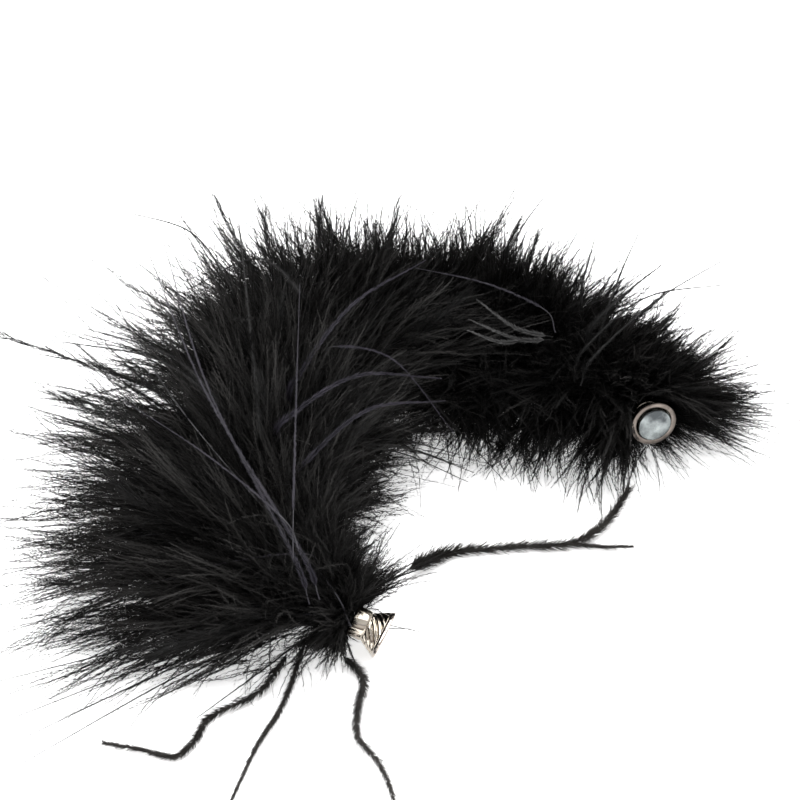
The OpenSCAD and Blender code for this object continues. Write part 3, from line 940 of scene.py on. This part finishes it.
def single_fringe(soup, rng, path, reach, lean, begin):
    """Barbules all round one plume's shaft."""
    line = even_steps(path, 30)
    run = np.linalg.norm(np.diff(line, axis=0), axis=1).sum()
    tangent = unit(np.gradient(line, axis=0))
    a = unit(np.cross(tangent, UP + 0.01))
    b = np.cross(a, tangent)
    turns = np.arange(FRINGE_ROWS) * math.pi / FRINGE_ROWS
    flat = a[None] * np.cos(turns)[:, None, None] + b[None] * np.sin(turns)[:, None, None]
    barbules(soup, rng, np.repeat(line[None], FRINGE_ROWS, axis=0), flat, np.full(FRINGE_ROWS, run),
             spacing=0.24 * MM, reach=reach * MM, lean=lean, width=0.16 * MM, spread=0.2,
             start=begin, tips_at=0.6, fade=0.75)


def make_singles(body, rows):
    """Single plumes on one body: shafts and fringes, in one piece for each colour."""
    rng = np.random.default_rng(sum(map(ord, body)))
    shafts, fringes = {}, {}
    for kind, root, headings, length, rise, left, up in rows:
        radius, reach, lean, begin, colour, shaft, deep = KINDS[kind]
        shaft_soup = shafts.setdefault(shaft, Soup())
        fringe_soup = fringes.setdefault(colour, Soup())
        for heading in headings:
            start = np.array(root, float) + rng.uniform(-1, 1, 3)
            size = length * rng.uniform(0.95, 1.05)
            path = single_line(start, heading, size, rise, left, up, deep)
            tubes(shaft_soup, path[None], np.array([radius * MM]), 0.25, 6)
            single_fringe(fringe_soup, rng, path, reach, lean, begin)
    for colour, soup in shafts.items():
        piece = soup.build(f"plume_shafts_{colour}_{body}", SHAFT_MATS[colour])
        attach(piece, body)
    for colour, soup in fringes.items():
        piece = soup.build(f"plume_fringes_{colour}_{body}", FRINGE_MATS[colour])
        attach(piece, body)


for single_body, single_rows in SINGLES.items():
    make_singles(single_body, single_rows)


# ---------------------------------------------------------------- cord, thread and metal

def paint(words, mat):
    """Gives a material to every CAD solid whose name holds one of the words."""
    for name, solid in frame["nodes"].items():
        if any(w in name for w in words):
            solid.data.materials.clear()
            solid.data.materials.append(mat)


paint(["core_cord", "cord_end", "cord_tail"], CORD)
paint(["thread_wrap", "end_whip"], THREAD)
paint(["magnet"], MAGNET)
paint(["glue_plug"], GLUE)

CORD_R = 1.2 * MM
PLIES = 3
TURN_PER_MM = 2.1
# How far from a hinge the cord starts to bend: between links, and close to the clasps
CORD_BEND = 3.2 * MM
END_BEND = 1.2 * MM


def rounded_corner(a, b, c, reach):
    """A line from a to c by way of b, with the corner at b rounded off over reach on both sides."""
    first, last = unit(b - a), unit(c - b)
    t = np.linspace(0, 1, 9)[:, None]
    p, q = b - first * reach, b + last * reach
    corner = p * (1 - t) ** 2 + 2 * b * t * (1 - t) + q * t * t
    lead = a + (p - a) * np.linspace(0, 1, 40, endpoint=False)[:, None]
    tail = q + (c - q) * np.linspace(0, 1, 41)[1:, None]
    return np.vstack([lead, corner, tail])


def make_cord(name, a, b, c, nodes, reach):
    """Three plies twisted together, from a to c, which bend at b."""
    line = rounded_corner(a, b, c, reach)
    run = np.concatenate([[0], np.cumsum(np.linalg.norm(np.diff(line, axis=0), axis=1))])
    tangent = unit(np.gradient(line, axis=0))
    side = unit(np.cross(tangent, UP))
    over = np.cross(side, tangent)
    soup = Soup()
    for ply in range(PLIES):
        turn = run / MM * TURN_PER_MM + 2 * math.pi * ply / PLIES
        path = line + (side * np.cos(turn)[:, None] + over * np.sin(turn)[:, None]) * CORD_R * 0.5
        tubes(soup, path[None], np.array([CORD_R * 0.56]), 1.0, 9)
    piece = soup.build(name, CORD)
    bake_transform(piece)
    if nodes:
        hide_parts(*nodes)


def link_middles():
    """The middle of each link of the cord, with the clasps' tilting points at the two ends."""
    hinges = [hinge(n) for n in CHAIN]
    between = [(a + b) / 2 for a, b in zip(hinges[:-1], hinges[1:])]
    return [hinge("near_tilt")] + between + [hinge("far_tilt")]


CORD_NODES = {0: ["near_cord_end"], 7: ["core_cord_7", "far_cord_end"]}
middles = link_middles()
for k in range(8):
    end_a = (middles[0] + hinge("near_swing")) / 2 if k == 0 else middles[k]
    end_c = (middles[8] + hinge("far_swing")) / 2 if k == 7 else middles[k + 1]
    make_cord(f"cord_{BODIES[k]}_to_{BODIES[k + 1]}", end_a, hinge(CHAIN[k]), end_c,
              CORD_NODES.get(k, [f"core_cord_{k}"]),
              CORD_BEND if 0 < k < 7 else END_BEND)
for end, (base, axis) in (("near", NEAR_CLASP), ("far", FAR_CLASP)):
    tilt = hinge(f"{end}_tilt")
    end_a = (tilt + hinge(f"{end}_swing")) / 2
    make_cord(f"cord_{end}_end_to_{end}_clasp", end_a, tilt, base + axis * 3 * MM,
              [f"{end}_cord_tail"], END_BEND)

# Outlines of the metal parts: along the axis from the back of the band, then out from the axis, in mm
BAND_OUTLINE = [(3.3, 1.65), (0.1, 1.65), (0, 1.8), (0, 3.15), (0.06, 3.33), (0.2, 3.45), (3.1, 3.45),
                (3.28, 3.41), (3.4, 3.3), (3.46, 3.14)]
SEAT_OUTLINE = [(6.8, 3.75), (5.9, 3.75), (5.9, 2.4), (3.3, 2.4)]
RIM_OUTLINE = [(6.8, 4.2), (6.8, 5.08), (7.2, 5.3), (7.45, 5.44), (7.6, 5.5), (7.72, 5.48), (7.8, 5.36),
               (7.8, 4.42), (7.76, 4.28), (7.66, 4.2)]
CAP_OUTLINE = [(8.0, 0), (8.0, 3.9), (8.06, 4.0), (8.32, 4.0), (8.42, 3.94), (8.48, 3.7), (8.54, 2.8),
               (8.58, 1.5), (8.6, 0)]
# The cone starts here along the axis, at this radius, and widens by this much for each mm to its end
CONE_START = 3.6
CONE_END = 6.8
CONE_RADIUS = 3.28
CONE_FLARE = 0.563
FLUTES = 13
FLUTE_DEPTH = 0.42
# How far the flutes wind round, in radians for each mm
FLUTE_TWIST = 0.42


def turned(name, base, axis, outline, mat, sides=120, flute=None, closed=True):
    """A turned part about the clasp's axis. flute(x, turn) takes a depth off the radius."""
    side = unit(np.cross(axis, UP))
    over = np.cross(side, axis)
    x = np.array([p[0] for p in outline])[:, None]
    r = np.array([p[1] for p in outline])[:, None]
    turn = np.linspace(0, 2 * math.pi, sides, endpoint=False)[None]
    r = r - (flute(x, turn) if flute else 0 * turn)
    ring = side * np.cos(turn)[..., None] + over * np.sin(turn)[..., None]
    verts = base + axis * (x * MM + 0 * turn)[..., None] + ring * (r * MM)[..., None]
    rows = len(outline)
    last = rows if closed else rows - 1
    i = np.arange(last)[:, None]
    j = np.arange(sides)[None]
    row, next_row = i * sides, ((i + 1) % rows) * sides
    next_j = (j + 1) % sides
    faces = np.stack([row + j, next_row + j, next_row + next_j, row + next_j], -1).reshape(-1, 4)
    uv = np.stack([np.arange(rows)[:, None] / rows + 0 * turn, turn / 6.3 + 0 * x], -1)
    soup = Soup()
    soup.add(verts.reshape(-1, 3), faces[:, ::-1], np.zeros(rows * sides), uv.reshape(-1, 2))
    return soup.build(name, mat)


def cone_outline():
    """The flared cone between the band and the rim, in short steps so that the flutes can wind round it."""
    return [(x, CONE_RADIUS + (x - CONE_START) * CONE_FLARE) for x in np.linspace(CONE_START, CONE_END, 22)]


def flutes(x, turn):
    """Rounded grooves that wind round the cone and fade out at the band and at the rim."""
    first = CONE_START - 0.05
    part = np.clip((x - first) / (CONE_END - first), 0, 1)
    on_cone = (x > first) & (x <= CONE_END)
    depth = FLUTE_DEPTH * smoothstep(part * 3.5) * smoothstep((1 - part) * 6) * on_cone
    wave = 0.5 - 0.5 * np.cos(FLUTES * (turn + FLUTE_TWIST * (x - CONE_START)))
    return depth * wave ** 1.3 * (turn * 0 + 1)


def make_ferrule(end, base, axis):
    """The band with its fluted cone, and the seat for the magnet inside."""
    outline = BAND_OUTLINE + cone_outline()
    outer = len(outline)

    def only_outside(x, turn):
        cut = flutes(x, turn)
        cut[outer:] = 0
        return cut

    piece = turned(f"{end}_ferrule_fluted", base, axis, outline + SEAT_OUTLINE, BAND, 208, only_outside)
    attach(piece, f"{end}_clasp")
    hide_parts(f"{end}_ferrule")


def make_rim(end, base, axis):
    """The rounded rim at the mouth of a clasp half; the far half's rim takes a darker copy of the rim metal,
    painted shade.
    """
    piece = turned(f"{end}_rim_rounded", base, axis, RIM_OUTLINE, RIM if end == "near" else SHADED_FAR_RIM)
    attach(piece, f"{end}_clasp")
    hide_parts(f"{end}_rim_ring")


for end, (base, axis) in (("near", NEAR_CLASP), ("far", FAR_CLASP)):
    make_ferrule(end, base, axis)
    make_rim(end, base, axis)
cap = turned("far_cap_domed", *FAR_CLASP, CAP_OUTLINE, MAGNET, closed=False)
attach(cap, "far_clasp")
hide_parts("far_pole_cap")


# ---------------------------------------------------------------- floor and light

# The white table shines a little itself, so that it stays white under the feathers
TABLE_GLOW = 0.68


def make_floor():
    """The table, far wider than what shows of it."""
    size = 6.0
    me = bpy.data.meshes.new("floor")
    corners = [(-size, -size, 0), (size, -size, 0), (size, size, 0), (-size, size, 0)]
    me.from_pydata(corners, [], [(0, 1, 2, 3)])
    floor = bpy.data.objects.new("floor", me)
    white = material("white_floor", grey(0.86), grey(0.9), 0.7, 2, specular=0.2)
    shader = white.node_tree.nodes["Principled BSDF"]
    shader.inputs["Emission Color"].default_value = (1, 1, 1, 1)
    shader.inputs["Emission Strength"].default_value = TABLE_GLOW
    me.materials.append(white)
    bpy.context.scene.collection.objects.link(floor)


def make_light(name, place, size, power):
    """A soft lamp at a place, which points at the middle of the table."""
    data = bpy.data.lights.new(name, "AREA")
    data.shape = "RECTANGLE"
    data.size, data.size_y = size
    data.energy = power
    light = bpy.data.objects.new(name, data)
    light.location = place
    light.rotation_euler = (-Vector(place)).to_track_quat("-Z", "Y").to_euler()
    bpy.context.scene.collection.objects.link(light)


# How light the studio is from straight down to straight up, for the stripes in the metal
STUDIO = [(0.0, grey(0.8)), (0.5, grey(0.8)), (0.53, grey(0.12)), (0.6, (0.5, 0.42, 0.4)),
          (0.66, grey(0.95)), (0.74, (1.0, 0.95, 0.88)), (0.78, (0.42, 0.4, 0.46)), (0.85, grey(1.0)),
          (0.97, grey(0.85))]


def make_world():
    """A studio whose brightness changes with height only."""
    world = bpy.data.worlds.new("studio")
    bpy.context.scene.world = world
    world.use_nodes = True
    nodes, links = world.node_tree.nodes, world.node_tree.links
    where = nodes.new("ShaderNodeTexCoord")
    split = nodes.new("ShaderNodeSeparateXYZ")
    height = nodes.new("ShaderNodeMapRange")
    height.inputs["From Min"].default_value = -1
    ramp = nodes.new("ShaderNodeValToRGB")
    stops = ramp.color_ramp.elements
    while len(stops) < len(STUDIO):
        stops.new(0.5)
    for stop, (place, colour) in zip(stops, STUDIO):
        stop.position = place
        stop.color = (*colour, 1)
    links.new(where.outputs["Generated"], split.inputs["Vector"])
    links.new(split.outputs["Z"], height.inputs["Value"])
    links.new(height.outputs["Result"], ramp.inputs["Fac"])
    links.new(ramp.outputs["Color"], nodes["Background"].inputs["Color"])
    nodes["Background"].inputs["Strength"].default_value = 0.85


make_floor()
make_world()
make_light("top_softbox", (0.0, 0.25, 0.9), (1.2, 1.2), 14)
make_light("left_strip", (-0.7, -0.3, 0.5), (0.2, 0.8), 5)
bpy.context.scene.view_settings.view_transform = "Standard"
